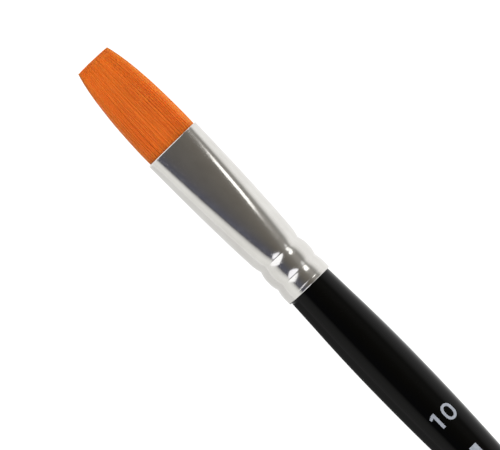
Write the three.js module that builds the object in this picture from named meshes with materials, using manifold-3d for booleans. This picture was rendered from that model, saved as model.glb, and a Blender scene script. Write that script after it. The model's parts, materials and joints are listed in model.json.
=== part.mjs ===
// A flat paint brush with a short lacquered handle, lying on the belly of its handle.
// Millimetres. +X runs along the brush towards the hair's tip, and +Z is up, out of the flat side.
// The origin is under the middle of the brush, on the surface that it lies on.

import * as THREE from 'three';
import { LoftGeometry } from 'three/addons/geometries/LoftGeometry.js';
import { mergeVertices } from 'three/addons/utils/BufferGeometryUtils.js';
import Module from 'manifold-3d';

const wasm = await Module();
wasm.setup();

// Driving dimensions

const totalLength = 200;
const hairLength = 17.85;
const ferruleLength = 30.6;

const mouthHalfWidth = 5;
const mouthHalfThickness = 2.75;
const ferruleWall = 0.3;
const frontCrimp = 23.84;
const crimpedEndRadius = 4.3;

const neckRadius = 3.85;
const bellyRadius = 4.36;
const bellyStart = 17.5;
const bellyEnd = 22.5;
const handleEndRadius = 1.4;
const lacquerThickness = 0.2;
const lacquerOverlap = 1.2;

const tenonLength = 15;
const tenonEndRadius = 2.5;
const glueGroove = { start: 8.8, end: 12.2, radius: 2.75 };

const hairTipHalfThickness = 0.5;
const flexLine = 0.78;
const rootStart = 1;
const rootEnd = 10;
const binding = { start: 7.1, end: 8.7, thread: 0.4, turns: 4 };
const epoxy = { start: 9.1, end: 11.6, wall: 0.35 };

const digit = { height: 3.05, stroke: 0.54, base: 30.4, gap: 0.93, zeroWidth: 2.03, oneWidth: 1.28 };
const bar = { start: 35.1, length: 26, width: 1.36 };
const inkMiddleY = -0.72;
const inkThickness = 0.12;

// Gaps between pieces that touch on the real brush

const seatGap = 0.05;
const hairGap = 0.12;
const knuckleGap = 0.22;
const inkGap = 0.03;

// Every section has the same number of corners at the same angles, so that neighbours fit together.
// A flat side points straight down, and the brush lies on the one under its belly.

const sides = 24;
const halfFacet = Math.PI / sides;

const tipX = totalLength / 2;
const handleEndX = -totalLength / 2;
const mouthX = tipX - hairLength;
const ferruleEndX = mouthX - ferruleLength;
const handleLength = ferruleEndX - handleEndX;
const flexX = mouthX + flexLine;
const axisHeight = bellyRadius * Math.cos(halfFacet);
const mouthHalfFlat = mouthHalfWidth - mouthHalfThickness;

// Shape helpers

// A section across the brush: two arcs of the given radius, moved apart by a flat stretch.
// Without a flat stretch it is a circle.
function section(x, halfFlat, radius) {
  const start = halfFacet * Math.max(0, 1 - halfFlat / mouthHalfFlat);
  const steps = sides / 2 - 1;
  const points = [];
  for (let i = 0; i < sides; i++) {
    const rightSide = i <= steps;
    const turn = start + (Math.PI - 2 * start) * (i % (steps + 1)) / steps;
    const across = halfFlat + radius * Math.sin(turn);
    const up = radius * Math.cos(turn);
    points.push(new THREE.Vector3(x, rightSide ? -across : across, rightSide ? up : -up));
  }
  return points;
}

// The same surface with one vertex at each point.
function closedSurface(geometry) {
  const plain = new THREE.BufferGeometry();
  plain.setAttribute('position', geometry.getAttribute('position'));
  plain.setIndex(geometry.index);
  return mergeVertices(plain);
}

// A solid through sections in the order of rising x, closed at both ends.
function solidThrough(sections) {
  return closedSurface(new LoftGeometry(sections, { capStart: true, capEnd: true }));
}

// A solid whose sections come back to the first one, as the wall of a tube does.
function wallThrough(sections) {
  return closedSurface(new LoftGeometry([...sections, sections[0]]));
}

// A solid turned about the brush's axis, from an outline of [x, radius] points.
function turned(outline) {
  const points = outline.map(([x, radius]) => new THREE.Vector2(radius, x));
  const geometry = new THREE.LatheGeometry(points, sides, halfFacet);
  geometry.rotateZ(-Math.PI / 2);
  return closedSurface(geometry);
}

function toManifold(geometry) {
  const vertProperties = new Float32Array(geometry.attributes.position.array);
  const triVerts = new Uint32Array(geometry.index.array);
  return new wasm.Manifold(new wasm.Mesh({ numProp: 3, vertProperties, triVerts }));
}

function toGeometry(manifold) {
  const mesh = manifold.getMesh();
  const geometry = new THREE.BufferGeometry();
  geometry.setAttribute('position', new THREE.BufferAttribute(mesh.vertProperties, 3));
  geometry.setIndex(new THREE.BufferAttribute(mesh.triVerts, 1));
  return geometry;
}

function cutOut(body, tool) {
  return toGeometry(toManifold(body).subtract(toManifold(tool)));
}

// The value at a place, from a list of [place, value] stations.
function valueAt(stations, place) {
  const last = stations.length - 1;
  const next = Math.min(last, Math.max(1, stations.findIndex(([station]) => station >= place)));
  const [before, valueBefore] = stations[next - 1];
  const [after, valueAfter] = stations[next];
  return valueBefore + (valueAfter - valueBefore) * (place - before) / (after - before);
}

// Ferrule: a thin seamless tube, flattened at the mouth and round from the front crimp on.

// Half width, as [distance behind the mouth, half width]: two crimps with a bulge between them.
const ferruleHalfWidths = [
  [0, mouthHalfWidth],
  [9.1, 4.86],
  [15.3, 4.67],
  [18.4, 4.55],
  [20.9, 4.4],
  [22.2, 4.31],
  [23.1, 4.2],
  [frontCrimp, 4],
  [24.4, 4.16],
  [25.1, 4.27],
  [25.86, crimpedEndRadius],
  [26.6, 4.26],
  [27.2, 4.15],
  [27.67, 4.05],
  [28.2, 4.14],
  [29.2, 4.22],
  [ferruleLength, 4.24],
];

// The half thickness grows evenly from the mouth to the front crimp, where the tube is round.
function ferruleSection(place, inset) {
  const halfWidth = valueAt(ferruleHalfWidths, place);
  const share = Math.min(1, place / frontCrimp);
  const halfThickness = mouthHalfThickness + (crimpedEndRadius - mouthHalfThickness) * share;
  const radius = Math.min(halfWidth, halfThickness);
  return section(mouthX - place, halfWidth - radius, radius - inset);
}

function ferrule() {
  const places = ferruleHalfWidths.map(([place]) => place);
  const outside = places.map((place) => ferruleSection(place, 0)).reverse();
  const inside = places.map((place) => ferruleSection(place, ferruleWall));
  return wallThrough([...outside, ...inside]);
}

// Handle: turned wood under a shell of lacquer, with a bare tenon inside the ferrule.

// Radius, as [distance behind the ferrule, radius].
const handleRadii = [
  [-lacquerOverlap, 3.81],
  [0, neckRadius],
  [4.6, 4.01],
  [9.3, 4.2],
  [13.5, 4.31],
  [bellyStart, bellyRadius],
  [bellyEnd, bellyRadius],
  [27, 4.3],
  [33, 4.16],
  [42, 3.84],
  [55, 3.34],
  [70, 2.86],
  [90, 2.4],
  [112, 2.1],
  [132, 1.96],
  [handleLength - 3.2, 1.93],
  [handleLength - 1.1, 1.8],
  [handleLength, handleEndRadius],
];

// Points of the handle's surface moved inwards, from its end to the ferrule.
function handleOutline(inset) {
  const points = handleRadii.map(([place, radius]) => [ferruleEndX - place, radius - inset]);
  points[points.length - 1][0] += inset;
  return points.reverse();
}

function handleLacquer() {
  const outside = handleOutline(0);
  const inside = handleOutline(lacquerThickness).reverse();
  return turned([[handleEndX, 0], ...outside, ...inside, [handleEndX + lacquerThickness, 0]]);
}

// Tenon radius, as [distance into the ferrule, radius]: it bulges where the ferrule does, and has a
// groove for the glue.
const tenonRadii = [
  [1.5, 3.56],
  [2.9, 3.62],
  [4.8, 3.84],
  [6.7, 3.6],
  [8, 3.5],
  [glueGroove.start, 3.42],
  [glueGroove.start, glueGroove.radius],
  [glueGroove.end, glueGroove.radius],
  [glueGroove.end, 3.22],
  [tenonLength - 0.8, 3.05],
  [tenonLength, tenonEndRadius],
];

function handleWood() {
  const inset = lacquerThickness + seatGap;
  const tenon = tenonRadii.map(([place, radius]) => [ferruleEndX + place, radius]);
  const ends = [handleEndX + inset, ferruleEndX + tenonLength];
  return turned([[ends[0], 0], ...handleOutline(inset), ...tenon, [ends[1], 0]]);
}

// A ring of glue that fills the tenon's groove.
function tenonGlue() {
  const startX = ferruleEndX + glueGroove.start + seatGap;
  const endX = ferruleEndX + glueGroove.end - seatGap;
  const innerRadius = glueGroove.radius + seatGap;
  return turned([
    [startX, innerRadius],
    [startX, 3.42],
    [endX, 3.24],
    [endX, innerRadius],
    [startX, innerRadius],
  ]);
}

// Hair: a free tuft that flexes about a line across the mouth, and a root set inside the ferrule.

const hairHalfWidth = mouthHalfWidth - ferruleWall - hairGap;
const hairHalfThickness = mouthHalfThickness - ferruleWall - hairGap;

// Half width of the free hair, as [distance before the mouth, half width].
const hairHalfWidths = [
  [flexLine, hairHalfWidth],
  [5.6, 4.48],
  [8.6, 4.28],
  [11.2, 4.04],
  [13.5, 3.74],
  [15.2, 3.46],
  [16.6, 3.15],
  [hairLength, 2.8],
];

function tuftSection(place) {
  const halfWidth = valueAt(hairHalfWidths, place);
  const share = (place - flexLine) / (hairLength - flexLine);
  const radius = hairHalfThickness + (hairTipHalfThickness - hairHalfThickness) * share;
  return section(mouthX + place, halfWidth - radius, radius);
}

// Sections of a rounded end about the flex line, from its back to a turn round it. The end is what
// a ball of the given radius, rolled along the flex line, would fill.
function knuckleSections(radius, lastTurn, count) {
  const halfFlat = hairHalfWidth - hairHalfThickness;
  const firstTurn = 0.12;
  const sections = [];
  for (let i = 0; i < count; i++) {
    const turn = firstTurn + (lastTurn - firstTurn) * i / count;
    sections.push(section(flexX - radius * Math.cos(turn), halfFlat, radius * Math.sin(turn)));
  }
  return sections;
}

function hairTuft() {
  const back = knuckleSections(hairHalfThickness, Math.PI / 2, 6);
  const front = hairHalfWidths.map(([place]) => tuftSection(place));
  return solidThrough([...back, ...front]);
}

// The root fills the ferrule. It has a waist for the binding, a narrower end for the resin, and a
// hollow that the tuft's rounded end turns in.
function hairRoot() {
  const waist = binding.thread + 2 * seatGap;
  const collar = epoxy.wall + 2 * seatGap;
  const outline = [
    [rootEnd, collar],
    [epoxy.start - seatGap, collar],
    [epoxy.start - seatGap, seatGap],
    [binding.end + seatGap, seatGap],
    [binding.end + seatGap, waist],
    [binding.start - seatGap, waist],
    [binding.start - seatGap, seatGap],
    [rootStart, seatGap],
  ];
  const body = outline.map(([place, inset]) => ferruleSection(place, ferruleWall + inset));
  const hollow = knuckleSections(hairHalfThickness + knuckleGap, Math.PI / 2, 6);
  return cutOut(solidThrough(body), solidThrough(hollow));
}

// The binding is one winding of thread: each turn is a ridge round the root.
function rootBinding() {
  const pitch = (binding.end - binding.start) / binding.turns;
  const ridge = ferruleWall + seatGap;
  const valley = ridge + binding.thread / 3;
  const inner = ridge + binding.thread;
  const sections = [ferruleSection(binding.start, inner), ferruleSection(binding.end, inner)];
  for (let turn = binding.turns; turn > 0; turn--) {
    const place = binding.start + pitch * turn;
    sections.push(ferruleSection(place, valley));
    sections.push(ferruleSection(place - pitch / 2, ridge));
  }
  sections.push(ferruleSection(binding.start, valley));
  return wallThrough(sections);
}

// The resin is a cup that holds the root's end.
function settingEpoxy() {
  const outer = ferruleWall + seatGap;
  const inner = outer + epoxy.wall;
  const body = [ferruleSection(epoxy.end, outer), ferruleSection(epoxy.start, outer)];
  const recess = [ferruleSection(rootEnd + seatGap, inner), ferruleSection(rootStart, inner)];
  return cutOut(solidThrough(body), solidThrough(recess));
}

// Marks: thin ink that follows the lacquer's surface, read with the hair up.

// The layer between two offsets of the handle's surface.
function inkLayer() {
  const outside = handleOutline(-inkGap - inkThickness);
  const inside = handleOutline(-inkGap).reverse();
  return toManifold(turned([...outside, ...inside, outside[0]]));
}

// A flat shape cut out of the layer of ink on top of the handle. Its first axis runs across the
// handle and its second towards the hair.
function printed(shape, behindFerrule, acrossY) {
  const prism = new THREE.ExtrudeGeometry(shape, {
    depth: bellyRadius,
    bevelEnabled: false,
    curveSegments: 8,
  });
  prism.rotateZ(-Math.PI / 2);
  prism.translate(ferruleEndX - behindFerrule, acrossY, bellyRadius / 2);
  return toGeometry(toManifold(closedSurface(prism)).intersect(inkLayer()));
}

function zeroShape() {
  const { height, stroke, zeroWidth } = digit;
  const shape = new THREE.Shape();
  const hole = new THREE.Path();
  shape.absellipse(0, height / 2, zeroWidth / 2, height / 2, 0, 2 * Math.PI);
  hole.absellipse(0, height / 2, zeroWidth / 2 - stroke, height / 2 - stroke, 0, 2 * Math.PI);
  shape.holes.push(hole);
  return shape;
}

// An upright stroke with a flag that slopes down to the left from its top.
function oneShape() {
  const { height, stroke, oneWidth } = digit;
  const stem = oneWidth - stroke;
  const flagDrop = 0.62;
  return new THREE.Shape([
    new THREE.Vector2(stem, 0),
    new THREE.Vector2(oneWidth, 0),
    new THREE.Vector2(oneWidth, height),
    new THREE.Vector2(stem, height),
    new THREE.Vector2(0, height - flagDrop),
    new THREE.Vector2(stroke / 3, height - flagDrop - stroke),
    new THREE.Vector2(stem, height - stroke - 0.15),
  ]);
}

function barShape() {
  const half = bar.width / 2;
  return new THREE.Shape([
    new THREE.Vector2(-half, 0),
    new THREE.Vector2(half, 0),
    new THREE.Vector2(half, bar.length),
    new THREE.Vector2(-half, bar.length),
  ]);
}

// Materials

function material(color, roughness, metalness) {
  return new THREE.MeshStandardMaterial({ color, roughness, metalness });
}

const materials = {
  lacquer: material(0x0b0c0a, 0.12, 0),
  wood: material(0xd2b48c, 0.7, 0),
  nickel: material(0xd9d6cf, 0.14, 1),
  hair: material(0xdc641e, 0.45, 0),
  resin: material(0xc9a45a, 0.3, 0),
  thread: material(0xe6ded0, 0.8, 0),
  glue: material(0xe8dfc0, 0.4, 0),
  ink: material(0xafb4be, 0.5, 0),
};

// Assembly

const brush = new THREE.Group();
brush.position.z = axisHeight;

function add(name, geometry, look) {
  const mesh = new THREE.Mesh(geometry, look);
  mesh.name = name;
  brush.add(mesh);
}

add('handle_wood', handleWood(), materials.wood);
add('handle_lacquer', handleLacquer(), materials.lacquer);
add('tenon_glue', tenonGlue(), materials.glue);
add('ferrule', ferrule(), materials.nickel);
add('hair_tuft', hairTuft(), materials.hair);
add('hair_root', hairRoot(), materials.hair);
add('root_binding', rootBinding(), materials.thread);
add('setting_epoxy', settingEpoxy(), materials.resin);

const labelHalfWidth = (digit.oneWidth + digit.gap + digit.zeroWidth) / 2;
const oneY = inkMiddleY + labelHalfWidth;
const zeroY = inkMiddleY - labelHalfWidth + digit.zeroWidth / 2;
add('size_digit_one', printed(oneShape(), digit.base, oneY), materials.ink);
add('size_digit_zero', printed(zeroShape(), digit.base, zeroY), materials.ink);
add('maker_bar', printed(barShape(), bar.start + bar.length, inkMiddleY), materials.ink);

export default brush;
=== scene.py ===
"""A flat paint brush with a short lacquered handle: the looks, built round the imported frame.

Blender 4.5, in metres. +X runs along the brush towards the hair's tip, and +Z is up, out of its
flat side. Places come from the frame. Named sizes are in millimetres, and MM turns them into
metres.
"""
import json
import math

import bmesh
import bpy
import numpy as np
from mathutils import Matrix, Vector

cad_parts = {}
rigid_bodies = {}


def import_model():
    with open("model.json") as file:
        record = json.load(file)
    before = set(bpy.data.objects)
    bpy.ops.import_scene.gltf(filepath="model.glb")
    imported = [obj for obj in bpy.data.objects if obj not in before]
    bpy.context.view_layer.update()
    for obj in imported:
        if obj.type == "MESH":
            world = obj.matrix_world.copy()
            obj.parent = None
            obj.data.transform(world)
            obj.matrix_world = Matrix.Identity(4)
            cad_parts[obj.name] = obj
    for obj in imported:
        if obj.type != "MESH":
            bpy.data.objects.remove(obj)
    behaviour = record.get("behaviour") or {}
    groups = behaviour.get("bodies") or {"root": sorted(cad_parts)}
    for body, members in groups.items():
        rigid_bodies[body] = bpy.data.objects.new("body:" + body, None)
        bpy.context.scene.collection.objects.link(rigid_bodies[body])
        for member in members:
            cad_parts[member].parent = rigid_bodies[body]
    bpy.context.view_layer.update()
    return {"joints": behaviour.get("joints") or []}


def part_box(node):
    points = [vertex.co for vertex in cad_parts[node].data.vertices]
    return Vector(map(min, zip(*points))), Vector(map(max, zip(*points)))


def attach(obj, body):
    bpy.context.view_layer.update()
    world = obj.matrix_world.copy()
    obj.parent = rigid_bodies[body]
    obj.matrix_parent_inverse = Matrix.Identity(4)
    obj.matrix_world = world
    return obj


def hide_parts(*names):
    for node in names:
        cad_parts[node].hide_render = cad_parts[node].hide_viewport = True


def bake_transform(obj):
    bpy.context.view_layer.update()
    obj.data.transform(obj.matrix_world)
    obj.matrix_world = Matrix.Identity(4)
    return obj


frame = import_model()

MM = 0.001
SEED = 7

# Places from the frame

BEND = frame["joints"][0]
HANDLE_BODY = BEND["parent"]
AXIS_Z = BEND["pos_m"][2]
MOUTH_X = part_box("ferrule")[1].x
FERRULE_END_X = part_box("ferrule")[0].x
HANDLE_END_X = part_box("handle_lacquer")[0].x
LACQUER_START_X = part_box("handle_lacquer")[1].x
TIP_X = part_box("hair_tuft")[1].x
ROOT_END_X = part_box("hair_root")[0].x

# Lengths from the frame, in millimetres

FERRULE_LENGTH = (MOUTH_X - FERRULE_END_X) / MM
HAIR_LENGTH = (TIP_X - MOUTH_X) / MM
HANDLE_LENGTH = (FERRULE_END_X - HANDLE_END_X) / MM
ROOT_DEPTH = (MOUTH_X - ROOT_END_X) / MM

# Driving sizes, in millimetres

MOUTH_HALF_THICKNESS = 2.75
FERRULE_WALL = 0.3
FRONT_CRIMP = 23.84
BACK_CRIMP = 27.67
CRIMPED_END_RADIUS = 4.3

HAIR_HALF_WIDTH = 4.64
HAIR_HALF_THICKNESS = 2.38
TIP_HALF_THICKNESS = 0.5
FILAMENT_RADIUS = 0.075
FILAMENT_TIP_RADIUS = 0.028

LACQUER_THICKNESS = 0.2
SEAT_GAP = 0.05
END_FILLET = 0.8

DIGIT_HEIGHT = 2.83
DIGIT_STROKE = 0.43
DIGIT_BASE = 30.18
ZERO_WIDTH = 1.9
ONE_WIDTH = 1.17
DIGIT_GAP = 0.98
INK_MIDDLE_Y = -0.77
BAR_START = 35.1
BAR_LENGTH = 26.0
BAR_WIDTH = 1.36

# How sharply the flats of a section end

FLAT_SHARPNESS = 3.4

# How many corners the rings of each piece have

FERRULE_SIDES = 176
LACQUER_SIDES = 160
INNER_SIDES = 96
THREAD_SIDES = 10


# Curves and meshes


def smooth_curve(stations):
    """A function through (place, value) stations that is smooth and never overshoots them."""
    places, values = np.array(stations, float).T
    steps = np.diff(places)
    slopes = np.diff(values) / steps
    tangents = np.concatenate((slopes[:1], np.zeros(len(slopes) - 1), slopes[-1:]))
    for i in range(1, len(slopes)):
        before, after = slopes[i - 1], slopes[i]
        if before * after > 0:
            weight_before = 2 * steps[i] + steps[i - 1]
            weight_after = steps[i] + 2 * steps[i - 1]
            whole = weight_before + weight_after
            tangents[i] = whole / (weight_before / before + weight_after / after)

    def value(at):
        at = np.clip(np.asarray(at, float), places[0], places[-1])
        i = np.clip(np.searchsorted(places, at, side="right") - 1, 0, len(steps) - 1)
        share = (at - places[i]) / steps[i]
        start = (1 + 2 * share) * (1 - share) ** 2 * values[i]
        start_turn = share * (1 - share) ** 2 * steps[i] * tangents[i]
        end = share**2 * (3 - 2 * share) * values[i + 1]
        end_turn = share**2 * (share - 1) * steps[i] * tangents[i + 1]
        return start + start_turn + end + end_turn

    return value


def ring_turns(count):
    return np.arange(count) * 2 * math.pi / count


def section(x, half_flat, radius, turns):
    """A ring across the brush, in metres: a circle whose top and bottom are spread into flats that
    keep a slight crown. x is in metres, and the other sizes are in millimetres."""
    spread = np.tanh(FLAT_SHARPNESS * np.sin(turns)) / math.tanh(FLAT_SHARPNESS)
    across = (half_flat * spread + radius * np.sin(turns)) * MM
    up = radius * np.cos(turns) * MM + AXIS_Z
    return np.stack((np.full(len(turns), x), across, up), axis=1)


def skin(rings, around_to_start=False):
    """Vertices and faces of a closed surface through rings. Its ends are capped, or joined to each
    other where the rings go round a wall."""
    rings = np.asarray(rings, float)
    rows, count = rings.shape[:2]
    faces = []
    last_row = rows if around_to_start else rows - 1
    for row in range(last_row):
        low = row * count
        high = (row + 1) % rows * count
        for i in range(count):
            j = (i + 1) % count
            faces.append((low + i, low + j, high + j, high + i))
    if not around_to_start:
        faces.append(tuple(range(count))[::-1])
        faces.append(tuple(range((rows - 1) * count, rows * count)))
    return rings.reshape(-1, 3), faces


def make_piece(name, vertices, faces, material, crease_degrees=40):
    """A smooth-shaded mesh object whose faces point outwards."""
    mesh = bpy.data.meshes.new(name)
    mesh.from_pydata([tuple(v) for v in vertices], [], faces)
    shape = bmesh.new()
    shape.from_mesh(mesh)
    bmesh.ops.recalc_face_normals(shape, faces=shape.faces)
    shape.to_mesh(mesh)
    shape.free()
    mesh.shade_smooth()
    mesh.set_sharp_from_angle(angle=math.radians(crease_degrees))
    mesh.materials.append(material)
    piece = bpy.data.objects.new(name, mesh)
    bpy.context.scene.collection.objects.link(piece)
    return piece


def turned_rings(outline, count):
    """Rings of a turned solid from (x in metres, radius in millimetres) points."""
    turns = ring_turns(count)
    return [section(x, 0, radius, turns) for x, radius in outline]


def hold(piece, slot, *nodes):
    """The piece rides on the handle's body and stands for these nodes."""
    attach(piece, HANDLE_BODY)
    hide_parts(*nodes)


# Materials


class Nodes:
    """A node tree, with the few kinds of node that the looks and the light need."""

    def __init__(self, tree):
        self.tree = tree

    def new(self, kind):
        return self.tree.nodes.new("ShaderNode" + kind)

    def feed(self, value, socket):
        if isinstance(value, tuple):
            socket.default_value = (*value, 1)
        elif isinstance(value, (int, float)):
            socket.default_value = value
        else:
            self.tree.links.new(value, socket)

    def math(self, operation, first, second=0.0):
        node = self.new("Math")
        node.operation = operation
        self.feed(first, node.inputs[0])
        self.feed(second, node.inputs[1])
        return node.outputs[0]

    def ramp(self, factor, *stops):
        """Colours, or greys, at positions along a factor."""
        node = self.new("ValToRGB")
        elements = node.color_ramp.elements
        while len(elements) < len(stops):
            elements.new(1.0)
        for element, (position, color) in zip(elements, stops):
            element.position = position
            element.color = (*color, 1) if isinstance(color, tuple) else (color, color, color, 1)
        self.feed(factor, node.inputs["Fac"])
        return node.outputs["Color"]

    def fade(self, value, low, high):
        """0 at low, 1 at high, and a smooth step between."""
        node = self.new("MapRange")
        node.interpolation_type = "SMOOTHSTEP"
        node.inputs["From Min"].default_value = low
        node.inputs["From Max"].default_value = high
        self.feed(value, node.inputs["Value"])
        return node.outputs["Result"]

    def mix(self, factor, first, second):
        node = self.new("Mix")
        node.data_type = "RGBA"
        color_inputs = [socket for socket in node.inputs if socket.type == "RGBA"]
        self.feed(factor, node.inputs[0])
        self.feed(first, color_inputs[0])
        self.feed(second, color_inputs[1])
        return next(socket for socket in node.outputs if socket.type == "RGBA")

    def noise(self, place, scale, detail=3.0, roughness=0.5):
        """Noise whose scale along each axis is in cycles to the metre."""
        mapping = self.new("Mapping")
        mapping.inputs["Scale"].default_value = scale
        self.feed(place, mapping.inputs["Vector"])
        node = self.new("TexNoise")
        node.inputs["Scale"].default_value = 1.0
        node.inputs["Detail"].default_value = detail
        node.inputs["Roughness"].default_value = roughness
        self.feed(mapping.outputs["Vector"], node.inputs["Vector"])
        return node.outputs["Fac"]


class Look(Nodes):
    """A material round one Principled shader."""

    def __init__(self, name, color, roughness, metallic=0.0, specular=0.5):
        self.material = bpy.data.materials.new(name)
        self.material.use_nodes = True
        super().__init__(self.material.node_tree)
        self.shader = self.tree.nodes["Principled BSDF"]
        self.set("Base Color", color)
        self.set("Roughness", roughness)
        self.set("Metallic", metallic)
        self.set("Specular IOR Level", specular)
        self.place = self.new("TexCoord").outputs["Object"]

    def set(self, socket, value):
        self.feed(value, self.shader.inputs[socket])

    def attribute(self, name, output):
        node = self.new("Attribute")
        node.attribute_name = name
        return node.outputs[output]

    def grain(self, scale, detail=3.0, roughness=0.5):
        return self.noise(self.place, scale, detail, roughness)

    def bump(self, height, strength, distance):
        node = self.new("Bump")
        node.inputs["Strength"].default_value = strength
        node.inputs["Distance"].default_value = distance
        self.feed(height, node.inputs["Height"])
        self.set("Normal", node.outputs["Normal"])


def lacquer_look():
    """Deep black gloss, with the faint ripple of a dipped coat."""
    look = Look("black_lacquer", (0.0005, 0.0005, 0.0004), 0.1, specular=0.13)
    tint = look.grain((60, 200, 200))
    blacks = ((0.3, (0.0004, 0.0004, 0.0003)), (0.7, (0.0007, 0.0007, 0.0005)))
    look.set("Base Color", look.ramp(tint, *blacks))
    smear = look.grain((90, 420, 420), detail=4.0)
    look.set("Roughness", look.ramp(smear, (0.3, 0.085), (0.75, 0.14)))
    ripple = look.grain((220, 700, 700), detail=2.0)
    look.bump(ripple, 0.25, 0.00002)
    return look.material


def nickel_look():
    """Polished nickel plate: faint clouding, a fine grain and tiny scattered specks."""
    look = Look("nickel_plate", (0.66, 0.645, 0.615), 0.13, metallic=1.0)
    cloud = look.grain((260, 420, 420), detail=4.0)
    look.set("Base Color", look.ramp(cloud, (0.3, (0.63, 0.615, 0.585)), (0.7, (0.69, 0.68, 0.65))))
    grain = look.grain((2600, 5200, 5200), detail=3.0, roughness=0.65)
    look.set("Roughness", look.ramp(grain, (0.35, 0.1), (0.75, 0.17)))
    specks = look.ramp(look.grain((5200, 5200, 5200), detail=1.0), (0.63, 0.0), (0.7, 1.0))
    look.bump(look.math("ADD", grain, specks), 0.24, 0.000012)
    return look.material


# How far the paler tips reach back and run on past the tip, how far the painted shade at the
# mouth reaches forward, and from what share of the half width the hair gets paler, painted light
# as if lit through its outermost filaments.
PALE_TIP_REACH = 9.0
PALE_TIP_BEYOND = 1.0
MOUTH_SHADE_REACH = 1.8
LIT_SIDE_START = 0.78


def hair_look():
    """Orange synthetic filaments that let some light through: each has its own shade, bunches of
    them make soft streaks, and the tips are paler. The outermost are paler too, painted light as if
    lit through, and the hair just out of the mouth is darker, painted shade."""
    look = Look("orange_hair", (0.6, 0.11, 0.009), 0.45, specular=0.25)
    look.set("Subsurface Weight", 0.35)
    look.set("Subsurface Scale", 0.4 * MM)
    look.shader.inputs["Subsurface Radius"].default_value = (1.0, 0.4, 0.12)
    rest = look.attribute("rest", "Vector")
    strand = look.attribute("shade", "Fac")
    streak = look.noise(rest, (70, 1500, 1500), detail=3.0, roughness=0.6)
    fine = look.noise(rest, (160, 5200, 5200), detail=2.0)
    tone = look.math("ADD", look.math("MULTIPLY", streak, 0.3), look.math("MULTIPLY", fine, 0.4))
    tone = look.math("ADD", tone, look.math("MULTIPLY", strand, 0.3))
    body = look.ramp(
        tone,
        (0.32, (0.515, 0.09, 0.0062)),
        (0.5, (0.545, 0.107, 0.0083)),
        (0.7, (0.565, 0.126, 0.011)),
    )
    split = look.new("SeparateXYZ")
    look.feed(rest, split.inputs[0])
    x = split.outputs["X"]
    at_tip = look.fade(x, TIP_X - PALE_TIP_REACH * MM, TIP_X + PALE_TIP_BEYOND * MM)
    # Painted shade: the hair is darker just out of the mouth, where the ferrule shades it.
    shaded_mouth = look.fade(x, MOUTH_X + MOUTH_SHADE_REACH * MM, MOUTH_X)
    # Painted light: the outermost filaments are paler, as if light shone through them.
    lit_side = look.fade(look.attribute("edge", "Fac"), LIT_SIDE_START, 1.0)
    body = look.mix(at_tip, body, (0.7, 0.131, 0.0097))
    body = look.mix(shaded_mouth, body, (0.46, 0.104, 0.0082))
    look.set("Base Color", look.mix(lit_side, body, (0.575, 0.15, 0.0135)))
    return look.material


def wood_look():
    """Turned beech: long pale grain with short darker flecks."""
    look = Look("turned_wood", (0.62, 0.42, 0.23), 0.6)
    grain = look.grain((60, 1800, 1800), detail=5.0)
    flecks = look.grain((700, 6000, 6000), detail=2.0)
    base = look.ramp(grain, (0.3, (0.48, 0.29, 0.14)), (0.7, (0.7, 0.5, 0.3)))
    dark = look.ramp(flecks, (0.62, 0.0), (0.74, 0.5))
    look.set("Base Color", look.mix(dark, base, (0.3, 0.16, 0.07)))
    look.bump(grain, 0.3, 0.00003)
    return look.material


def clouded_look(name, dark, light, roughness, scale):
    """A plain material whose shade drifts a little."""
    look = Look(name, light, roughness)
    look.set("Base Color", look.ramp(look.grain((scale,) * 3), (0.3, dark), (0.7, light)))
    return look.material


def thread_look():
    """Twisted cotton thread: its plies show as fine ridges."""
    look = Look("binding_thread", (0.78, 0.72, 0.6), 0.85)
    plies = look.grain((5200, 2600, 2600), detail=2.0)
    look.set("Base Color", look.ramp(plies, (0.35, (0.6, 0.53, 0.42)), (0.65, (0.84, 0.79, 0.68))))
    look.bump(plies, 0.8, 0.00005)
    return look.material


def ink_look():
    """Pale silver ink, a little uneven where the screen printed thin."""
    look = Look("silver_ink", (0.22, 0.235, 0.265), 0.5, specular=0.3)
    patches = look.grain((2400, 2400, 2400), detail=4.0, roughness=0.7)
    silvers = ((0.3, (0.18, 0.195, 0.22)), (0.6, (0.235, 0.25, 0.28)))
    look.set("Base Color", look.ramp(patches, *silvers))
    look.bump(patches, 0.2, 0.00001)
    return look.material


# Ferrule: a thin tube, flat at the mouth, with two creased crimps and a fine line near its end

# Half width, at distances behind the mouth
FERRULE_HALF_WIDTH = smooth_curve([
    (0, 5.0),
    (9.1, 4.86),
    (15.3, 4.67),
    (18.4, 4.545),
    (20.9, 4.405),
    (22.4, 4.325),
    (FRONT_CRIMP, CRIMPED_END_RADIUS),
    (25.8, 4.31),
    (BACK_CRIMP, 4.29),
    (FERRULE_LENGTH, 4.25),
])

# Each crimp falls away from its shoulders to a narrow crease: where it is, how deep, and how far
# its slopes reach towards the mouth and towards the handle.
CRIMPS = (
    (FRONT_CRIMP, 0.32, 2.0, 1.75),
    (BACK_CRIMP, 0.27, 1.6, 1.9),
)
CREASE_ROUNDING = 0.06
CRIMP_POWER = 2.2

# The fine line near the end: where it is, how deep and how wide
END_LINE = (FERRULE_LENGTH - 0.72, 0.03, 0.07)

# Rings of the tube's outside and inside: where they start, where they get finer, and how far apart
# they are before and after that. They leave room at the tube's end for the rings of its lip.
OUTSIDE_RINGS = (FERRULE_WALL, FRONT_CRIMP - 2.2, 0.35, 0.045)
INSIDE_RINGS = (0.5, 22.0, 1.2, 0.2)
END_ROOM = 0.2
LIP_RINGS = 9


def crimp_depth(place):
    depth = np.zeros_like(place)
    for at, deepest, front_reach, back_reach in CRIMPS:
        reach = np.where(place < at, front_reach, back_reach)
        away = np.hypot(place - at, CREASE_ROUNDING) - CREASE_ROUNDING
        depth += deepest * np.clip(1 - away / reach, 0, 1) ** CRIMP_POWER
    at, deepest, spread = END_LINE
    return depth + deepest * np.exp(-((place - at) / spread) ** 2)


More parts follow.
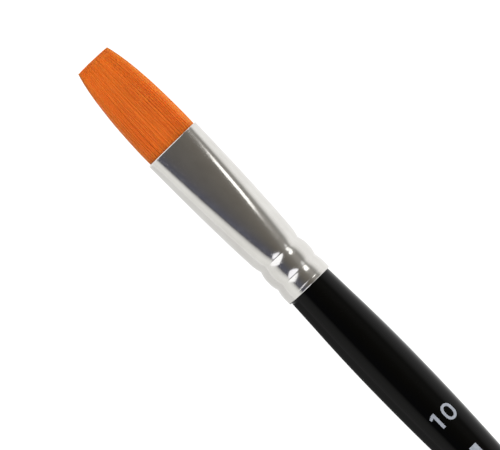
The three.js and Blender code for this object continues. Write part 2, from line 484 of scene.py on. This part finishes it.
def ferrule_half_sizes(place):
    """Half width and half thickness, in millimetres, at places behind the mouth."""
    place = np.asarray(place, float)
    half_width = FERRULE_HALF_WIDTH(place)
    share = np.clip(place / FRONT_CRIMP, 0, 1)
    even = MOUTH_HALF_THICKNESS + (CRIMPED_END_RADIUS - MOUTH_HALF_THICKNESS) * share
    half_thickness = np.where(share < 1, np.minimum(half_width, even), half_width)
    depth = crimp_depth(place)
    return half_width - depth, half_thickness - depth


def ferrule_ring(place, inset, turns):
    half_width, half_thickness = ferrule_half_sizes(np.array([place]))
    half_flat = float(half_width[0] - half_thickness[0])
    return section(MOUTH_X - place * MM, half_flat, float(half_thickness[0]) - inset, turns)


def ferrule_places(start, fine_start, step, fine_step):
    """Places along the tube, closer together round the crimps and the line near its end."""
    coarse = np.arange(start, fine_start, step)
    fine = np.arange(fine_start, FERRULE_LENGTH - END_ROOM, fine_step)
    return np.concatenate((coarse, fine))


def ferrule_piece():
    turns = ring_turns(FERRULE_SIDES)
    lip = FERRULE_WALL / 2
    lip_turns = np.linspace(0, math.pi, LIP_RINGS)
    outside = ferrule_places(*OUTSIDE_RINGS)[::-1]
    inside = ferrule_places(*INSIDE_RINGS)
    rings = [ferrule_ring(place, 0, turns) for place in outside]
    for turn in lip_turns:
        rings.append(ferrule_ring(lip - lip * math.sin(turn), lip - lip * math.cos(turn), turns))
    rings += [ferrule_ring(place, FERRULE_WALL, turns) for place in inside]
    for turn in lip_turns:
        place = FERRULE_LENGTH - lip + lip * math.sin(turn)
        rings.append(ferrule_ring(place, lip + lip * math.cos(turn), turns))
    vertices, faces = skin(rings, around_to_start=True)
    piece = make_piece("ferrule_tube", vertices, faces, nickel_look(), crease_degrees=80)
    hold(piece, "nickel", "ferrule")


# Handle: lacquer over turned wood, with a tenon inside the ferrule

# Radius, at distances behind the ferrule
HANDLE_RADIUS = smooth_curve([
    (-2, 3.8),
    (0, 3.9),
    (4.6, 4.08),
    (9.3, 4.27),
    (13.5, 4.38),
    (18.5, 4.43),
    (22, 4.42),
    (27, 4.36),
    (33, 4.2),
    (42, 3.86),
    (55, 3.34),
    (70, 2.86),
    (90, 2.4),
    (112, 2.1),
    (132, 1.96),
    (HANDLE_LENGTH, 1.93),
])

# Rings of the handle: where they get further apart, how far apart they are before and after that,
# and how many go round the end's fillet. A small flat cap closes the end, and the front edge of
# the lacquer comes to a low ridge.
SLIM_START = 70.0
THICK_STEP = 0.8
SLIM_STEP = 1.6
FILLET_RINGS = 10
CAP_RADIUS = 0.3
LACQUER_EDGE = 0.03


def handle_outline(inset, start):
    """(x, radius) points of the handle's surface moved inwards, from a place near the ferrule to
    the rounded end."""
    thick = np.arange(start, SLIM_START, THICK_STEP)
    slim = np.arange(SLIM_START, HANDLE_LENGTH - END_FILLET, SLIM_STEP)
    points = [(place, HANDLE_RADIUS(place) - inset) for place in (*thick, *slim)]
    end_radius = HANDLE_RADIUS(HANDLE_LENGTH) - END_FILLET
    fillet = END_FILLET - inset
    for turn in np.linspace(0, math.pi / 2, FILLET_RINGS):
        reach = HANDLE_LENGTH - END_FILLET + fillet * math.sin(turn)
        points.append((reach, end_radius + fillet * math.cos(turn)))
    points.append((points[-1][0], CAP_RADIUS))
    return [(FERRULE_END_X - place * MM, float(radius)) for place, radius in points]


def lacquer_piece(material):
    start = (FERRULE_END_X - LACQUER_START_X) / MM
    outside = handle_outline(0, start)
    inside = handle_outline(LACQUER_THICKNESS, start)
    edge = (LACQUER_START_X + LACQUER_EDGE * MM, outside[0][1] - LACQUER_THICKNESS / 2)
    rings = turned_rings([*inside[::-1], edge, *outside], LACQUER_SIDES)
    vertices, faces = skin(rings)
    piece = make_piece("handle_coat", vertices, faces, material, crease_degrees=60)
    hold(piece, "lacquer", "handle_lacquer")


# Where the wood under the lacquer starts, and the groove for the glue: its start and end in the
# ferrule, its radius, and how far its sides slant.
WOOD_START = -1.3
GROOVE_START = 8.8
GROOVE_END = 12.2
GROOVE_RADIUS = 2.75
GROOVE_SLANT = 0.1

# The tenon's radius, at distances into the ferrule
TENON = [
    (1.4, 3.56),
    (2.9, 3.62),
    (4.8, 3.84),
    (6.7, 3.6),
    (8.0, 3.5),
    (GROOVE_START - GROOVE_SLANT, 3.42),
    (GROOVE_START, GROOVE_RADIUS),
    (GROOVE_END, GROOVE_RADIUS),
    (GROOVE_END + GROOVE_SLANT, 3.22),
    (14.2, 3.05),
    (15.0, 2.5),
]


def wood_piece():
    inset = LACQUER_THICKNESS + SEAT_GAP
    handle = handle_outline(inset, WOOD_START)
    tenon = [(FERRULE_END_X + place * MM, radius) for place, radius in TENON]
    rings = turned_rings([*tenon[::-1], *handle], INNER_SIDES)
    vertices, faces = skin(rings)
    piece = make_piece("handle_core", vertices, faces, wood_look(), crease_degrees=35)
    hold(piece, "wood", "handle_wood")


def glue_piece():
    """A ring of glue that fills the tenon's groove and bulges a little out of it."""
    start = GROOVE_START + SEAT_GAP
    end = GROOVE_END - SEAT_GAP
    inner_radius = GROOVE_RADIUS + SEAT_GAP
    # Places in the ferrule, and radii
    outline = [
        (start, inner_radius),
        (start, 3.36),
        (start + 0.25, 3.44),
        (end - 0.25, 3.3),
        (end, 3.22),
        (end, inner_radius),
    ]
    dark, light = (0.7, 0.6, 0.38), (0.84, 0.78, 0.58)
    glue = clouded_look("wood_glue", dark, light, roughness=0.4, scale=800)
    points = [(FERRULE_END_X + place * MM, radius) for place, radius in outline]
    rings = turned_rings(points, INNER_SIDES)
    vertices, faces = skin(rings, around_to_start=True)
    piece = make_piece("glue_ring", vertices, faces, glue)
    hold(piece, "glue", "tenon_glue")


# Hair: filaments over a solid heart, set and tied inside the ferrule

# Half width and half thickness, at distances before the mouth
HAIR_OUTLINE = smooth_curve([
    (-ROOT_DEPTH, HAIR_HALF_WIDTH - 0.08),
    (0, HAIR_HALF_WIDTH),
    (1.0, 4.71),
    (3, 4.69),
    (5.6, 4.62),
    (8.6, 4.47),
    (11.2, 4.25),
    (13.5, 3.99),
    (15.2, 3.72),
    (16.4, 3.48),
    (17.3, 3.25),
    (HAIR_LENGTH, 3.08),
])
HAIR_THICKNESS = smooth_curve([
    (-ROOT_DEPTH, HAIR_HALF_THICKNESS + 0.15),
    (0, HAIR_HALF_THICKNESS),
    (5, 2.02),
    (11, 1.32),
    (HAIR_LENGTH, TIP_HALF_THICKNESS),
])

# The tip: how far its sides fall back, how far it slants, leans aside and may stand past the CAD
# tip, and the shape and scale of how much shorter single filaments are.
TIP_BOW = 0.08
TIP_SLANT = 0.08
TIP_ASIDE = -0.17
TIP_ALLOWANCE = 0.14
TIP_RAGGED = (1.5, 0.06)

# Filaments: their distance apart, how far off the grid they are as a share of it, how deep the
# outer ones lie, where the outer ones start, where along the free hair their taper starts, and
# its power.
FILAMENT_PITCH = 0.15
FILAMENT_JITTER = 0.22
OUTER_DEPTH = 0.42
OUTER_START = -1.0
TAPER_START = 0.45
TAPER_POWER = 1.3

# How far filaments wander at the tip, across and up: in waves, and steadily to one side. The pace
# of the waves is in radians to the millimetre.
WAVE = (0.025, 0.015)
DRIFT = (0.02, 0.01)
WAVE_PACE = (0.25, 0.6)

# Powers that put rings closer together near the tip, and keep the lean and the wander near it
CROWDING_POWER = 0.85
ASIDE_POWER = 1.6
WANDER_POWER = 1.5

# The heart: where it ends, how far inner filaments start before that, how far it lies inside the
# free hair and the set root, how deep the waist for the binding is, half the length of the slope
# from its root to its thinner part, how many rings these two parts have, and its shade.
HEART_END = 13.0
HEART_OVERLAP = 1.5
HEART_INSET = 0.15
ROOT_INSET = 0.03
WAIST_DEPTH = 0.45
HEART_STEP_GAP = 0.2
HEART_RINGS = (14, 24)
HEART_SHADE = 0.3


def half_thickness_at(across, half_width, half_thickness):
    """Half thickness of the flattened section at a distance across it."""
    beyond = np.maximum(np.abs(across) - (half_width - half_thickness), 0)
    return np.sqrt(np.maximum(half_thickness**2 - beyond**2, 1e-9))


def filament_roots(random):
    """Across and up of each filament at the mouth, in millimetres, on a jittered hexagonal grid,
    and how deep it lies under the bundle's surface."""
    rows = np.arange(-HAIR_HALF_THICKNESS, HAIR_HALF_THICKNESS, FILAMENT_PITCH * math.sqrt(0.75))
    points = []
    for i, up in enumerate(rows):
        shift = FILAMENT_PITCH / 2 * (i % 2)
        for across in np.arange(-HAIR_HALF_WIDTH, HAIR_HALF_WIDTH, FILAMENT_PITCH):
            points.append((across + shift, up))
    jitter = random.uniform(-FILAMENT_JITTER, FILAMENT_JITTER, (len(points), 2))
    points = np.array(points) + jitter * FILAMENT_PITCH
    half_flat = HAIR_HALF_WIDTH - HAIR_HALF_THICKNESS
    beyond = np.maximum(np.abs(points[:, 0]) - half_flat, 0)
    depth = HAIR_HALF_THICKNESS - np.hypot(beyond, points[:, 1])
    inside = depth > FILAMENT_RADIUS
    return points[inside], depth[inside]


def tubes(paths, radii, sides):
    """Vertices and faces of tubes along paths of points, in millimetres about the mouth's middle.
    Their rings stand across the brush, and both ends are closed."""
    count, steps = radii.shape
    turns = ring_turns(sides)
    rings = np.repeat(paths[:, :, None, :], sides, axis=2)
    rings[..., 1] += radii[:, :, None] * np.cos(turns)
    rings[..., 2] += radii[:, :, None] * np.sin(turns)
    vertices = rings.reshape(-1, 3) * MM + (MOUTH_X, 0, AXIS_Z)
    low = (np.arange(steps - 1)[:, None] * sides + np.arange(sides)).ravel()
    turn_on = (np.arange(steps - 1)[:, None] * sides + (np.arange(sides) + 1) % sides).ravel()
    quads = np.stack((low, turn_on, turn_on + sides, low + sides), axis=1)
    firsts = np.arange(count) * steps * sides
    faces = (quads[None] + firsts[:, None, None]).reshape(-1, 4).tolist()
    for first in firsts.tolist():
        last = first + (steps - 1) * sides
        faces.append(list(range(first + sides - 1, first - 1, -1)))
        faces.append(list(range(last, last + sides)))
    return vertices, faces


def filament_paths(roots, starts, steps, random):
    """A path for each filament from its start to its own tip. All of them draw in together as the
    bundle narrows, and each wanders a little."""
    across, up = roots.T
    count = len(roots)
    reach_up = half_thickness_at(across, HAIR_HALF_WIDTH, HAIR_HALF_THICKNESS)
    share_across = across / HAIR_HALF_WIDTH
    share_up = np.clip(up / reach_up, -1, 1)
    tips = HAIR_LENGTH + TIP_ALLOWANCE - random.gamma(*TIP_RAGGED, count)
    tips -= TIP_BOW * share_across**2 + TIP_SLANT * (1 - share_across) / 2
    share = np.linspace(0, 1, steps) ** CROWDING_POWER
    x = starts[:, None] + (tips - starts)[:, None] * share
    half_width = HAIR_OUTLINE(x)
    half_thickness = HAIR_THICKNESS(x)
    along = np.clip(x / HAIR_LENGTH, 0, 1)
    y = share_across[:, None] * half_width
    limit = half_thickness_at(y, half_width, half_thickness)
    z = share_up[:, None] * limit
    phase = random.uniform(0, 2 * math.pi, (2, count, 1))
    pace = random.uniform(*WAVE_PACE, (2, count, 1))
    drift = random.normal(0, 1, (2, count, 1))
    wander = [WAVE[i] * np.sin(x * pace[i] + phase[i]) + DRIFT[i] * drift[i] for i in range(2)]
    y = y + TIP_ASIDE * along**ASIDE_POWER + along**WANDER_POWER * wander[0]
    z = z + along**WANDER_POWER * wander[1]
    return np.stack((x, y, z), axis=2)


def filament_radii(paths):
    along = np.clip(paths[:, :, 0] / HAIR_LENGTH, 0, 1)
    taper = np.clip((along - TAPER_START) / (1 - TAPER_START), 0, 1) ** TAPER_POWER
    return FILAMENT_RADIUS + (FILAMENT_TIP_RADIUS - FILAMENT_RADIUS) * taper


def store(piece, name, kind, values):
    attribute = piece.data.attributes.new(name, kind, "POINT")
    field = "vector" if kind == "FLOAT_VECTOR" else "value"
    attribute.data.foreach_set(field, np.asarray(values, np.float32).ravel())


def bend_with_joint(piece, *nodes):
    """The piece's place is baked into its mesh, and the CAD nodes it stands for are hidden."""
    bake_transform(piece)
    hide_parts(*nodes)


def filament_piece(name, material, random, roots, starts, steps, sides):
    """Filaments as one piece: each has a random shade, and knows how far out to the side it is."""
    paths = filament_paths(roots, starts, steps, random)
    vertices, faces = tubes(paths, filament_radii(paths), sides)
    piece = make_piece(name, vertices, faces, material, crease_degrees=180)
    edge = np.abs(roots[:, 0]) / HAIR_HALF_WIDTH
    store(piece, "shade", "FLOAT", np.repeat(random.uniform(0, 1, len(roots)), steps * sides))
    store(piece, "edge", "FLOAT", np.repeat(edge, steps * sides))
    store(piece, "rest", "FLOAT_VECTOR", vertices)
    bend_with_joint(piece, "hair_tuft")


def heart_piece(material):
    """The solid heart of the bundle, from its set root to where the filaments alone go on."""
    turns = ring_turns(INNER_SIDES)
    root_rings, free_rings = HEART_RINGS
    root_places = np.linspace(-ROOT_DEPTH, OUTER_START - HEART_STEP_GAP, root_rings)
    free_places = np.linspace(OUTER_START + HEART_STEP_GAP, HEART_END, free_rings)
    rings = []
    for place in (*root_places, *free_places):
        inset = ROOT_INSET if place < OUTER_START else HEART_INSET
        half_thickness = float(HAIR_THICKNESS(place)) - inset
        half_width = float(HAIR_OUTLINE(place)) - inset
        if BINDING_START - SEAT_GAP < -place < BINDING_END + SEAT_GAP:
            half_thickness -= WAIST_DEPTH
            half_width -= WAIST_DEPTH
        ring = section(MOUTH_X + place * MM, half_width - half_thickness, half_thickness, turns)
        rings.append(ring)
    vertices, faces = skin(rings)
    piece = make_piece("hair_heart", vertices, faces, material, crease_degrees=50)
    store(piece, "shade", "FLOAT", np.full(len(vertices), HEART_SHADE))
    store(piece, "edge", "FLOAT", np.zeros(len(vertices)))
    store(piece, "rest", "FLOAT_VECTOR", vertices)
    bend_with_joint(piece, "hair_tuft", "hair_root")


def hair_pieces():
    random = np.random.default_rng(SEED)
    material = hair_look()
    roots, depth = filament_roots(random)
    outer = depth < OUTER_DEPTH
    inner = ~outer
    outer_starts = np.full(outer.sum(), OUTER_START)
    inner_starts = np.full(inner.sum(), HEART_END - HEART_OVERLAP)
    filament_piece("hair_outer", material, random, roots[outer], outer_starts, steps=18, sides=6)
    filament_piece("hair_inner", material, random, roots[inner], inner_starts, steps=6, sides=5)
    heart_piece(material)


# Marks: thin ink on the lacquer, read with the hair up


# How high the ink's top and its underside are over the lacquer, and how far apart the cuts are,
# along and across the handle, that let the ink follow it.
INK_TOP = 0.025
INK_UNDERSIDE = 0.004
INK_CUTS = (0.5, 0.12)

# The figure one: how much wider its stem is than a stroke, how far its flag drops and how far the
# flag's foot is set in, and how much deeper than a stroke its notch is.
STEM_EXTRA = 0.08
FLAG_DROP = 0.36
FLAG_FOOT = 0.14
NOTCH_EXTRA = 0.13


def print_mark(name, loops, behind_ferrule, across, material, node):
    """A mark from closed outlines of (right, up) points, in millimetres, laid on the lacquer."""
    shape = bmesh.new()
    for loop in loops:
        corners = [shape.verts.new((up, -right, 0)) for right, up in loop]
        for i, corner in enumerate(corners):
            shape.edges.new((corner, corners[(i + 1) % len(corners)]))
    bmesh.ops.triangle_fill(shape, use_beauty=True, use_dissolve=False, edges=shape.edges)
    low = [min(v.co[i] for v in shape.verts) for i in range(2)]
    high = [max(v.co[i] for v in shape.verts) for i in range(2)]
    for i, step in enumerate(INK_CUTS):
        normal = (1, 0, 0) if i == 0 else (0, 1, 0)
        for cut in np.arange(low[i] + step, high[i], step):
            point = tuple(cut * n for n in normal)
            parts = [*shape.verts, *shape.edges, *shape.faces]
            bmesh.ops.bisect_plane(shape, geom=parts, plane_co=point, plane_no=normal, dist=1e-5)
    made = bmesh.ops.extrude_face_region(shape, geom=list(shape.faces))
    raised = {v for v in made["geom"] if isinstance(v, bmesh.types.BMVert)}
    for vertex in shape.verts:
        place = behind_ferrule - vertex.co.x
        y = vertex.co.y + across
        lift = INK_TOP if vertex in raised else INK_UNDERSIDE
        radius = float(HANDLE_RADIUS(place)) + lift
        height = math.sqrt(radius**2 - y**2)
        vertex.co = (FERRULE_END_X - place * MM, y * MM, AXIS_Z + height * MM)
    mesh = bpy.data.meshes.new(name)
    shape.to_mesh(mesh)
    shape.free()
    vertices = [tuple(v.co) for v in mesh.vertices]
    faces = [tuple(face.vertices) for face in mesh.polygons]
    bpy.data.meshes.remove(mesh)
    piece = make_piece(name, vertices, faces, material, crease_degrees=30)
    hold(piece, "ink", node)


def squared(part, squareness=2.35):
    """A sine or cosine moved outwards, so that the oval it makes is fuller at its corners."""
    return math.copysign(abs(part) ** (2 / squareness), part)


def oval(half_width, half_height, middle_up, count=72):
    """An upright oval, a little fuller at its corners than an ellipse."""
    loop = []
    for turn in ring_turns(count):
        right = half_width * squared(math.cos(turn))
        up = middle_up + half_height * squared(math.sin(turn))
        loop.append((right, up))
    return loop


def mark_pieces():
    material = ink_look()
    label_half = (ONE_WIDTH + DIGIT_GAP + ZERO_WIDTH) / 2
    middle = DIGIT_HEIGHT / 2
    zero = [
        oval(ZERO_WIDTH / 2, middle, middle),
        oval(ZERO_WIDTH / 2 - DIGIT_STROKE, middle - DIGIT_STROKE, middle),
    ]
    stem = ONE_WIDTH - DIGIT_STROKE - STEM_EXTRA
    flag_top = DIGIT_HEIGHT - FLAG_DROP
    one = [[
        (stem, 0),
        (ONE_WIDTH, 0),
        (ONE_WIDTH, DIGIT_HEIGHT),
        (stem, DIGIT_HEIGHT),
        (0, flag_top),
        (FLAG_FOOT, flag_top - DIGIT_STROKE),
        (stem, DIGIT_HEIGHT - DIGIT_STROKE - NOTCH_EXTRA),
    ]]
    half = BAR_WIDTH / 2
    bar = [[(-half, 0), (half, 0), (half, BAR_LENGTH), (-half, BAR_LENGTH)]]
    one_y = INK_MIDDLE_Y + label_half
    zero_y = INK_MIDDLE_Y - label_half + ZERO_WIDTH / 2
    print_mark("digit_one", one, DIGIT_BASE, one_y, material, "size_digit_one")
    print_mark("digit_zero", zero, DIGIT_BASE, zero_y, material, "size_digit_zero")
    print_mark("plain_bar", bar, BAR_START + BAR_LENGTH, INK_MIDDLE_Y, material, "maker_bar")


# Inside the ferrule: the thread round the root, and the resin behind it

# The binding: where it starts and ends behind the mouth, its thread's radius, how many turns it
# makes, and how many rings a turn has. Then the resin: where it starts and ends.
BINDING_START = 7.1
BINDING_END = 8.7
THREAD_RADIUS = 0.19
THREAD_TURNS = 4
THREAD_STEPS = 72
RESIN_FRONT = 9.1
RESIN_BACK = 11.6


def thread_piece():
    """One thread wound round the root's waist."""
    steps = THREAD_STEPS * THREAD_TURNS
    turns = np.linspace(0, 2 * math.pi * THREAD_TURNS, steps)
    middle = (BINDING_START + BINDING_END) / 2
    half_width, half_thickness = ferrule_half_sizes(np.array([middle]))
    reach = float(half_thickness[0]) - FERRULE_WALL - 2 * SEAT_GAP - THREAD_RADIUS
    half_flat = float(half_width[0] - half_thickness[0])
    path = section(0, half_flat, reach, turns)
    places = np.linspace(BINDING_START + THREAD_RADIUS, BINDING_END - THREAD_RADIUS, steps)
    path[:, 0] = MOUTH_X - places * MM
    circle = ring_turns(THREAD_SIDES)[:, None]
    rings = []
    for i, point in enumerate(path):
        before, after = path[max(i - 1, 0)], path[min(i + 1, steps - 1)]
        forward = (after - before) / np.linalg.norm(after - before)
        side = np.cross(forward, (1, 0, 0))
        side /= np.linalg.norm(side)
        other = np.cross(side, forward)
        ring = side * np.cos(circle) + other * np.sin(circle)
        rings.append(point + THREAD_RADIUS * MM * ring)
    vertices, faces = skin(rings)
    piece = make_piece("thread_winding", vertices, faces, thread_look(), crease_degrees=70)
    hold(piece, "thread", "root_binding")


def resin_piece():
    """A plug of resin whose back has set with a hollow face, and whose front cups the root."""
    turns = ring_turns(INNER_SIDES)
    # Places behind the mouth, and how far in from the ferrule's inside
    outline = [
        (RESIN_BACK - 0.7, 1.9),
        (RESIN_BACK - 0.55, 1.2),
        (RESIN_BACK - 0.15, 0.5),
        (RESIN_BACK, 0.04),
        (RESIN_FRONT, 0.04),
        (RESIN_FRONT, 0.35),
        (RESIN_FRONT + 0.98, 0.4),
    ]
    dark, light = (0.46, 0.26, 0.07), (0.62, 0.42, 0.15)
    resin = clouded_look("setting_resin", dark, light, roughness=0.25, scale=500)
    rings = [ferrule_ring(place, FERRULE_WALL + inset, turns) for place, inset in outline]
    vertices, faces = skin(rings)
    piece = make_piece("resin_plug", vertices, faces, resin)
    hold(piece, "resin", "setting_epoxy")


# Stage, light and camera

FLOOR_HALF_SIZE = 3000.0
FLOOR_DEPTH = 12.0
FLOOR_GLOW = 0.96

# Turns round the brush are in degrees from straight up, and grow towards -Y.

# The grey card lies a little under the brush and reaches out to one side. The dark card's distance
# from the axis is a number of handle radii, and it starts a little behind the ferrule.
CARD_DEPTH = 0.3
CARD_REACH = 90.0
GREY_CARD_SHADE = 0.9
DARK_CARD_REACH = 1.5
DARK_CARD_START = 0.3
DARK_CARD_ROWS = 30
DARK_CARD_POINTS = 12

# Strips of the dark card: the turns where each starts and ends, and its shade
DARK_STRIPS = (
    (-66, -74, 0.65),
    (-74, -84, 0.42),
    (-84, -96, 0.26),
    (-96, -180, 0.15),
)

# The key's place beside and above the mouth. Powers are in watts.
KEY_ASIDE = -450.0
KEY_HEIGHT = 750.0
KEY_SIZE = 700.0
KEY_POWER = 9

# The point of the ferrule's ridge that the small lamp faces, behind the mouth, across and over the
# axis, and the way to the lamp from there: its turn, its lean towards the tip, and how far.
STREAK_POINT = (10.1, -2.4, 3.3)
STREAK_TURN = 39.5
STREAK_LEAN = 4.0
STREAK_DISTANCE = 60.0
STREAK_LAMP_SIZE = (15.0, 12.0)
STREAK_POWER = 0.001

# Shades of the tent at turns round the brush: of its ceiling, and of what is past either end of it
WALL_LIGHT = 1.13
CEILING = (
    (-92, (1.0, 1.0, 0.995)),
    (-78, (1.02, 1.02, 1.01)),
    (-62, (1.06, 1.06, 1.05)),
    (-50, (0.88, 0.88, 0.87)),
    (-42, (0.44, 0.44, 0.45)),
    (-38, (0.1, 0.1, 0.122)),
    (-30, (0.125, 0.127, 0.165)),
    (-22, (0.115, 0.116, 0.147)),
    (-6, (0.14, 0.133, 0.13)),
    (6, (0.17, 0.157, 0.14)),
    (15, (0.195, 0.18, 0.16)),
    (24, (0.235, 0.22, 0.2)),
    (32, (0.31, 0.295, 0.275)),
    (42, (0.37, 0.355, 0.335)),
    (50, (0.38, 0.365, 0.345)),
    (59, (0.33, 0.32, 0.305)),
    (65, (0.42, 0.415, 0.4)),
    (70, (0.68, 0.675, 0.66)),
    (78, (1.0, 0.995, 0.985)),
    (87, WALL_LIGHT),
)
PAST_TIP = (
    (-74, (1.06, 1.06, 1.05)),
    (-66, (1.5, 1.5, 1.55)),
    (12, (1.5, 1.5, 1.55)),
    (19, (0.17, 0.16, 0.15)),
    (35, (0.17, 0.16, 0.15)),
    (41, (1.6, 1.6, 1.6)),
    (56, (1.6, 1.6, 1.6)),
    (66, (0.85, 0.85, 0.85)),
    (76, (0.95, 0.95, 0.95)),
    (85, WALL_LIGHT),
)
PAST_HANDLE = (
    (-62, (1.06, 1.06, 1.05)),
    (-52, (1.4, 1.4, 1.5)),
    (12, (1.4, 1.4, 1.5)),
    (19, (0.17, 0.16, 0.15)),
    (38, (0.2, 0.19, 0.18)),
    (46, (0.95, 0.95, 0.95)),
    (74, (0.9, 0.9, 0.9)),
    (85, WALL_LIGHT),
)

# How far along X a direction points where one end's shades give way to the other's, and where the
# ceiling gives way to what is past its ends
ENDS_MEET = (-0.05, 0.05)
CEILING_END = (0.7, 0.8)

# Windows in the ceiling, where it gives way too: the middle and the reach of each, along X and in
# turns round the brush. They are diamonds with sides bowed out by a power, and a soft edge.
WINDOWS = (
    (0.64, 0.36, -32, 50),
    (0.5, 0.3, 49, 10),
    (-0.62, 0.3, -16, 36),
    (-0.6, 0.26, 50, 12),
)
WINDOW_BOW = 1.2
WINDOW_EDGE = (1.12, 0.88)


def stage_floor():
    """A plain pale floor, well below the brush so that its hair can bend down, and bright enough of
    itself to hold no shadow."""
    look = Look("pale_floor", (0.12, 0.12, 0.12), 0.9, specular=0.0)
    look.set("Base Color", look.ramp(look.grain((6, 6, 6)), (0.3, 0.11), (0.7, 0.13)))
    look.set("Emission Color", (1, 1, 1))
    look.set("Emission Strength", FLOOR_GLOW)
    reach = FLOOR_HALF_SIZE * MM
    signs = ((-1, -1), (1, -1), (1, 1), (-1, 1))
    corners = [(x * reach, y * reach, -FLOOR_DEPTH * MM) for x, y in signs]
    make_piece("floor", corners, [(0, 1, 2, 3)], look.material)


def reflected_card(name, rows, shade):
    """A card through rows of points that glows with an even shade of its own, lit by no lamp, and
    that only the brush's gloss can see.
    """
    look = Look(name, (0, 0, 0), 1.0, specular=0.0)
    look.set("Emission Color", (shade, shade, shade))
    look.set("Emission Strength", 1.0)
    count = len(rows[0])
    faces = [
        (low + i, low + i + 1, low + count + i + 1, low + count + i)
        for low in range(0, (len(rows) - 1) * count, count)
        for i in range(count - 1)
    ]
    card = make_piece(name, np.reshape(rows, (-1, 3)), faces, look.material)
    card.visible_camera = False
    card.visible_diffuse = False
    card.visible_shadow = False


def side_cards():
    """A grey card flat under one side of the brush, and a card curved round that side of the handle
    that darkens downwards."""
    grey_sides = (0, CARD_REACH * MM)
    grey_ends = (HANDLE_END_X, MOUTH_X)
    grey_rows = [[(x, y, -CARD_DEPTH * MM) for y in grey_sides] for x in grey_ends]
    reflected_card("grey_card", grey_rows, GREY_CARD_SHADE)
    for i, (first, last, shade) in enumerate(DARK_STRIPS):
        turns = np.radians(np.linspace(first, last, DARK_CARD_POINTS))
        rows = []
        for place in np.linspace(DARK_CARD_START, HANDLE_LENGTH, DARK_CARD_ROWS):
            reach = DARK_CARD_REACH * HANDLE_RADIUS(place) * MM
            x = np.full(len(turns), FERRULE_END_X - place * MM)
            y = -reach * np.sin(turns)
            z = AXIS_Z + reach * np.cos(turns)
            rows.append(np.stack((x, y, z), axis=1))
        reflected_card(f"dark_card_{i + 1}", rows, shade)


def tent_light():
    """A light tent round the brush: white walls, and a dim ceiling above it along X. Past each end
    of the ceiling, and in windows that reach into it from there, the tent is mostly bright."""
    world = bpy.data.worlds.new("light_tent")
    bpy.context.scene.world = world
    world.use_nodes = True
    nodes = Nodes(world.node_tree)
    split = nodes.new("SeparateXYZ")
    nodes.feed(nodes.new("TexCoord").outputs["Generated"], split.inputs[0])
    along, across, up = split.outputs
    turn = nodes.math("ARCTAN2", nodes.math("MULTIPLY", across, -1.0), up)
    circle_share = nodes.math("ADD", nodes.math("DIVIDE", turn, 2 * math.pi), 0.5)

    def shades(stops):
        shares = (((degrees + 180) / 360, shade) for degrees, shade in stops)
        return nodes.ramp(circle_share, *shares)

    def window(along_middle, along_reach, turn_middle, turn_reach):
        """1 for directions inside a window, 0 outside it, and a soft edge between."""
        along_share = nodes.math("DIVIDE", nodes.math("SUBTRACT", along, along_middle), along_reach)
        turn_offset = nodes.math("SUBTRACT", turn, math.radians(turn_middle))
        turn_share = nodes.math("DIVIDE", turn_offset, math.radians(turn_reach))
        shares = [nodes.math("ABSOLUTE", share) for share in (along_share, turn_share)]
        powers = [nodes.math("POWER", share, WINDOW_BOW) for share in shares]
        return nodes.fade(nodes.math("ADD", *powers), *WINDOW_EDGE)

    ends = nodes.mix(nodes.fade(along, *ENDS_MEET), shades(PAST_HANDLE), shades(PAST_TIP))
    bright = nodes.fade(nodes.math("ABSOLUTE", along), *CEILING_END)
    for place in WINDOWS:
        bright = nodes.math("MAXIMUM", bright, window(*place))
    light = nodes.mix(bright, shades(CEILING), ends)
    background = world.node_tree.nodes["Background"]
    nodes.feed(light, background.inputs["Color"])
    background.inputs["Strength"].default_value = 1.0


def area_lamp(name, place, target, length, width, power):
    data = bpy.data.lights.new(name, "AREA")
    data.shape = "RECTANGLE"
    data.size = length
    data.size_y = width
    data.energy = power
    lamp = bpy.data.objects.new(name, data)
    lamp.location = place
    lamp.rotation_euler = (Vector(target) - Vector(place)).to_track_quat("-Z", "X").to_euler()
    lamp.visible_camera = False
    bpy.context.scene.collection.objects.link(lamp)
    return lamp


def lamps():
    """A broad soft key that gloss doesn't mirror, and a small lamp close to the ferrule that only
    gloss sees, as a streak along one ridge."""
    key_place = (MOUTH_X, KEY_ASIDE * MM, KEY_HEIGHT * MM)
    key_size = KEY_SIZE * MM
    key = area_lamp("soft_key", key_place, (MOUTH_X, 0, AXIS_Z), key_size, key_size, KEY_POWER)
    key.visible_glossy = False
    behind, across, over = (part * MM for part in STREAK_POINT)
    ridge = Vector((MOUTH_X - behind, across, AXIS_Z + over))
    turn = math.radians(STREAK_TURN)
    lean = math.radians(STREAK_LEAN)
    level = math.cos(lean)
    toward = Vector((math.sin(lean), -math.sin(turn) * level, math.cos(turn) * level))
    place = ridge + toward * STREAK_DISTANCE * MM
    length, width = (size * MM for size in STREAK_LAMP_SIZE)
    streak = area_lamp("streak_lamp", place, ridge, length, width, STREAK_POWER)
    streak.visible_diffuse = False


FRAME_WIDTH = 77.5
LENS = 400.0
SENSOR = 36.0
AIM_PAST_FERRULE_END = 13.2
AIM_ASIDE = 0.08
CAMERA_TURN = 225.8


def camera():
    """Straight above the ferrule, with the brush running across the picture from corner to corner."""
    data = bpy.data.cameras.new("camera")
    data.lens = LENS
    data.sensor_width = SENSOR
    data.clip_start = 0.01
    eye = bpy.data.objects.new("camera", data)
    distance = FRAME_WIDTH * MM * LENS / SENSOR
    eye.location = (FERRULE_END_X + AIM_PAST_FERRULE_END * MM, AIM_ASIDE * MM, AXIS_Z + distance)
    eye.rotation_euler = (0, 0, math.radians(CAMERA_TURN))
    bpy.context.scene.collection.objects.link(eye)
    bpy.context.scene.camera = eye
    bpy.context.scene.view_settings.view_transform = "Standard"


camera()
tent_light()
lamps()
stage_floor()
side_cards()
ferrule_piece()
lacquer_piece(lacquer_look())
wood_piece()
glue_piece()
hair_pieces()
thread_piece()
resin_piece()
mark_pieces()
